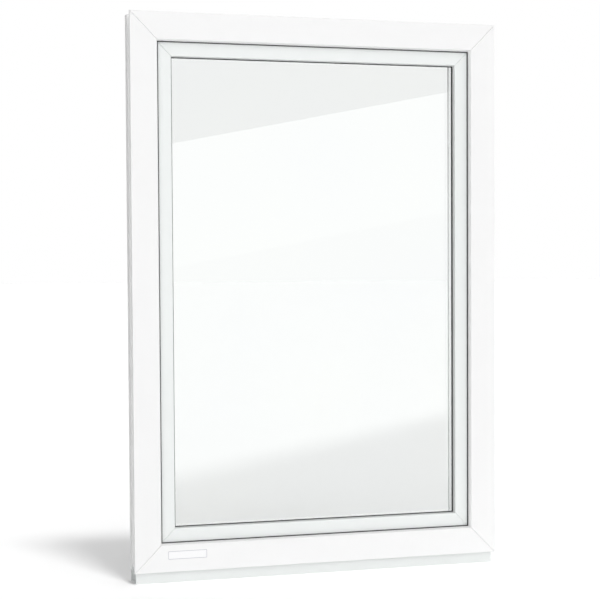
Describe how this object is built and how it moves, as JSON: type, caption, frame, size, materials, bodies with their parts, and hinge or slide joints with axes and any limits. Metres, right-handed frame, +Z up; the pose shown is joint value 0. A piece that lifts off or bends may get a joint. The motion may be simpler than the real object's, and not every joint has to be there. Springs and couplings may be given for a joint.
{
  "type": "pvc window",
  "caption": "White PVC window: mitred frame and recessed sash with dark gaskets, sealed double glazing, inside handle and hinges, and a hollow sill profile below.",
  "frame": {"origin": "middle of the underside of the sill profile, the face that stands on the wall", "axes": "+Z up, +Y from outside to the room, +X to the right as seen from outside"},
  "size_m": [0.96, 0.14, 1.4],
  "materials": {
    "white_pvc": "smooth satin gloss",
    "gasket_rubber": "matt, extruded",
    "bead_gasket_tpe": "matt, extruded with the bead",
    "edge_sealant": "matt",
    "spacer_aluminium": "mill finish",
    "clear_glass": "polished float glass",
    "white_enamel": "smooth, white powder coat"
  },
  "bodies": {
    "root": {"bead_gasket_bottom": "bead_gasket_tpe", "bead_gasket_left": "bead_gasket_tpe", "bead_gasket_right": "bead_gasket_tpe", "bead_gasket_top": "bead_gasket_tpe", "edge_seal_bottom": "edge_sealant", "edge_seal_left": "edge_sealant", "edge_seal_right": "edge_sealant", "edge_seal_top": "edge_sealant", "frame_bottom": "white_pvc", "frame_left": "white_pvc", "frame_right": "white_pvc", "frame_top": "white_pvc", "glass_inner": "clear_glass", "glass_outer": "clear_glass", "glazing_bead_bottom": "white_pvc", "glazing_bead_left": "white_pvc", "glazing_bead_right": "white_pvc", "glazing_bead_top": "white_pvc", "glazing_gasket_bottom": "gasket_rubber", "glazing_gasket_left": "gasket_rubber", "glazing_gasket_right": "gasket_rubber", "glazing_gasket_top": "gasket_rubber", "handle_lever": "white_enamel", "handle_rosette": "white_enamel", "lower_hinge_frame_leaf": "white_enamel", "lower_hinge_sash_leaf": "white_enamel", "overlap_gasket_bottom": "gasket_rubber", "overlap_gasket_left": "gasket_rubber", "overlap_gasket_right": "gasket_rubber", "overlap_gasket_top": "gasket_rubber", "sash_bottom": "white_pvc", "sash_left": "white_pvc", "sash_right": "white_pvc", "sash_top": "white_pvc", "sill_profile": "white_pvc", "spacer_bottom": "spacer_aluminium", "spacer_left": "spacer_aluminium", "spacer_right": "spacer_aluminium", "spacer_top": "spacer_aluminium", "stop_gasket_bottom": "gasket_rubber", "stop_gasket_left": "gasket_rubber", "stop_gasket_right": "gasket_rubber", "stop_gasket_top": "gasket_rubber", "upper_hinge_frame_leaf": "white_enamel", "upper_hinge_sash_leaf": "white_enamel"}
  },
  "joints": []
}
